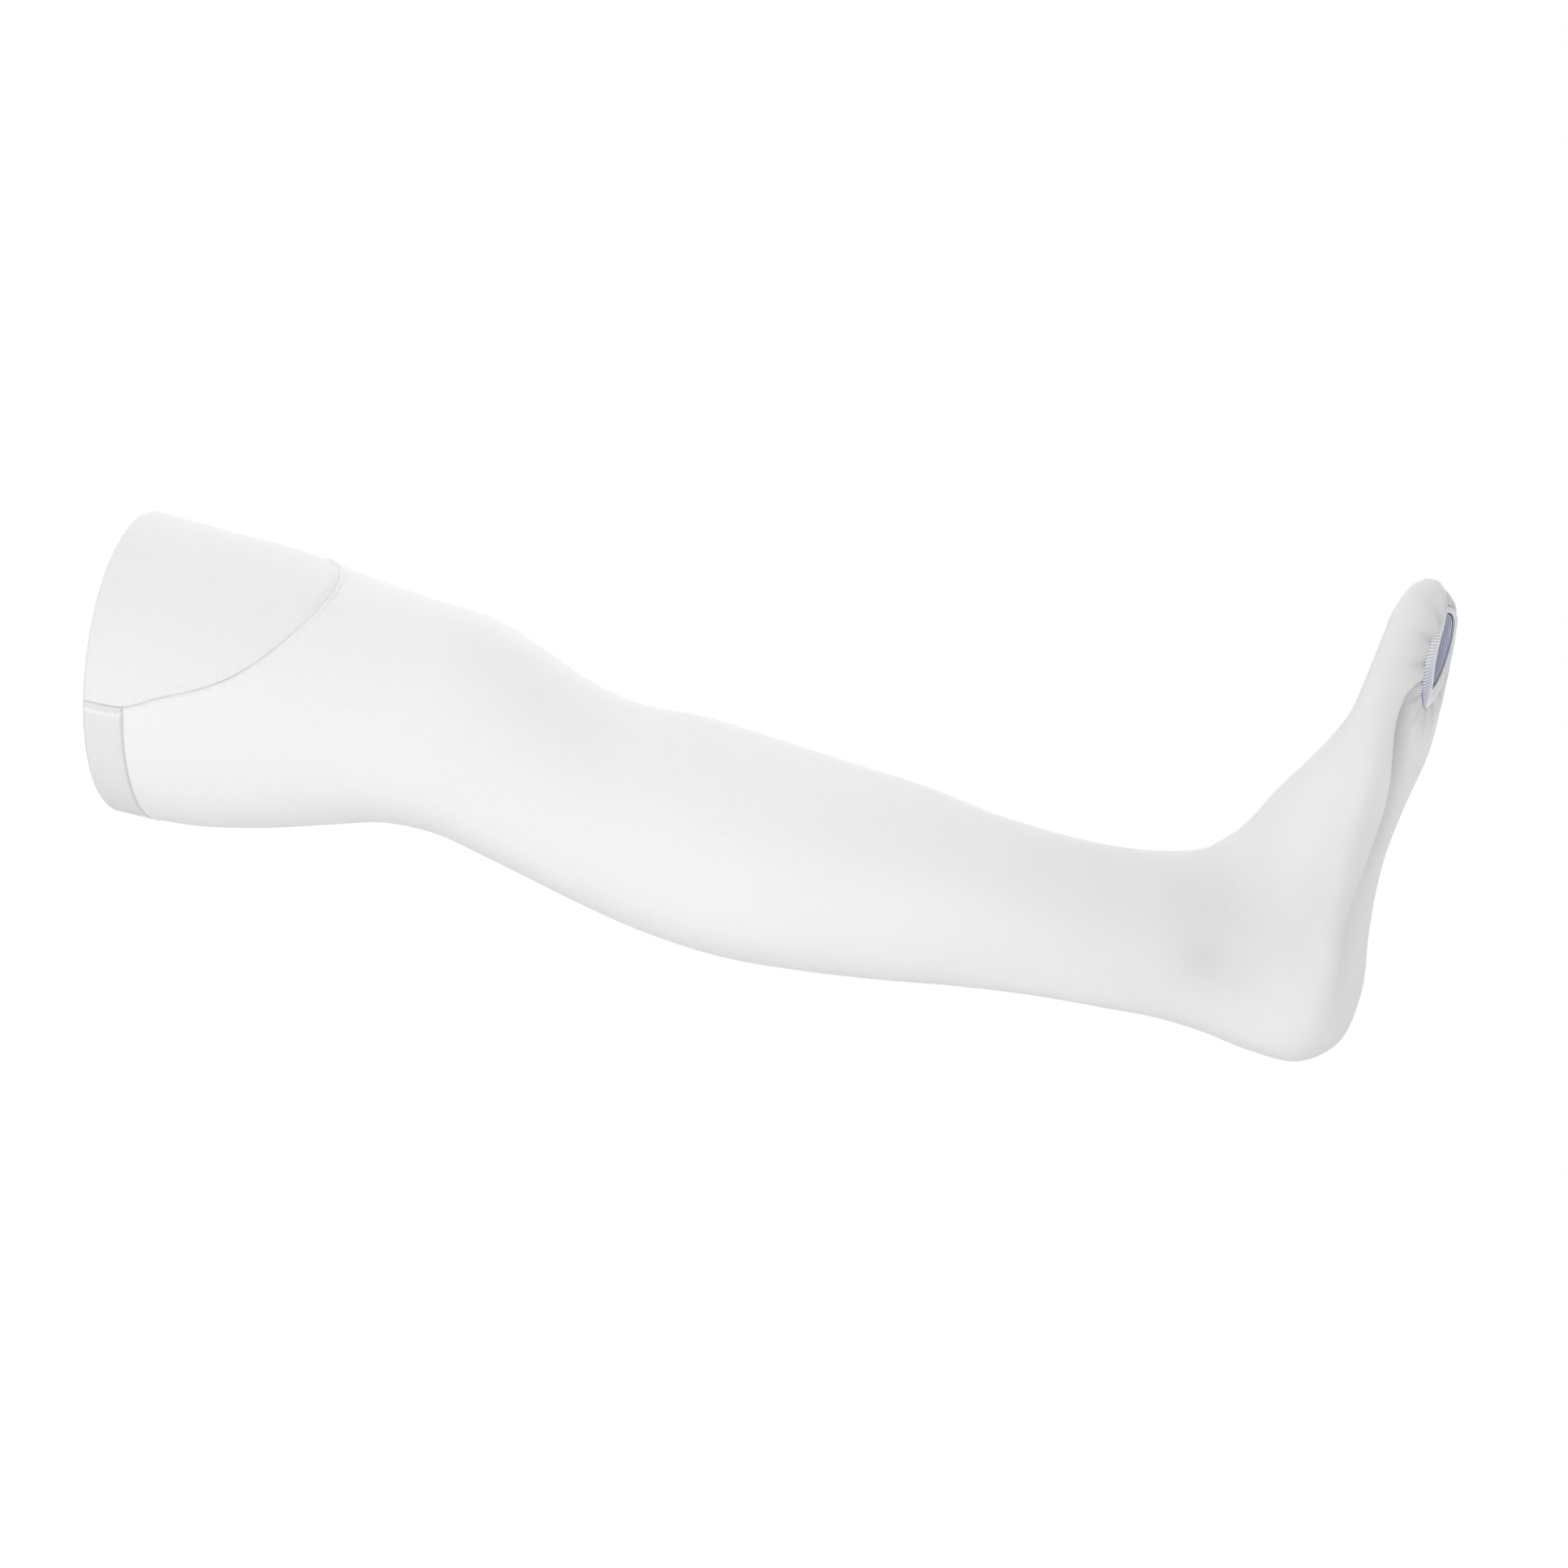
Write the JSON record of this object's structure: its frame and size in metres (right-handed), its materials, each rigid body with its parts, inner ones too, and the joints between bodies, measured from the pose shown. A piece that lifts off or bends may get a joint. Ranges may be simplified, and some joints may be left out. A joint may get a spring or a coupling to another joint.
{
  "type": "anti-embolism stocking",
  "caption": "Thigh-length knitted compression stocking in its worn form, with a gusset and a band at the thigh, a shaped heel and a hemmed inspection opening under the closed toe.",
  "frame": {"origin": "the centre of the thigh opening, where the leg goes in and holds the stocking in its form", "axes": "+X runs down the leg to the sole, +Z is the side of the kneecap and the toes, -Y is the inner side, with the big toe"},
  "size_m": [0.6643, 0.1523, 0.2726],
  "materials": {
    "knit": "white elastic knit, matt, with fine upright ribs",
    "gusset": "white elastic knit, a little closer than the leg",
    "band": "white elastic band, matt, doubled and stitched",
    "hem": "blue-violet and white ribbed knit hem",
    "thread": "white sewing thread, slightly lustrous"
  },
  "bodies": {
    "root": {"leg_knit": "knit", "thigh_gusset": "gusset", "thigh_band": "band", "toe_hem": "hem"}
  },
  "joints": []
}
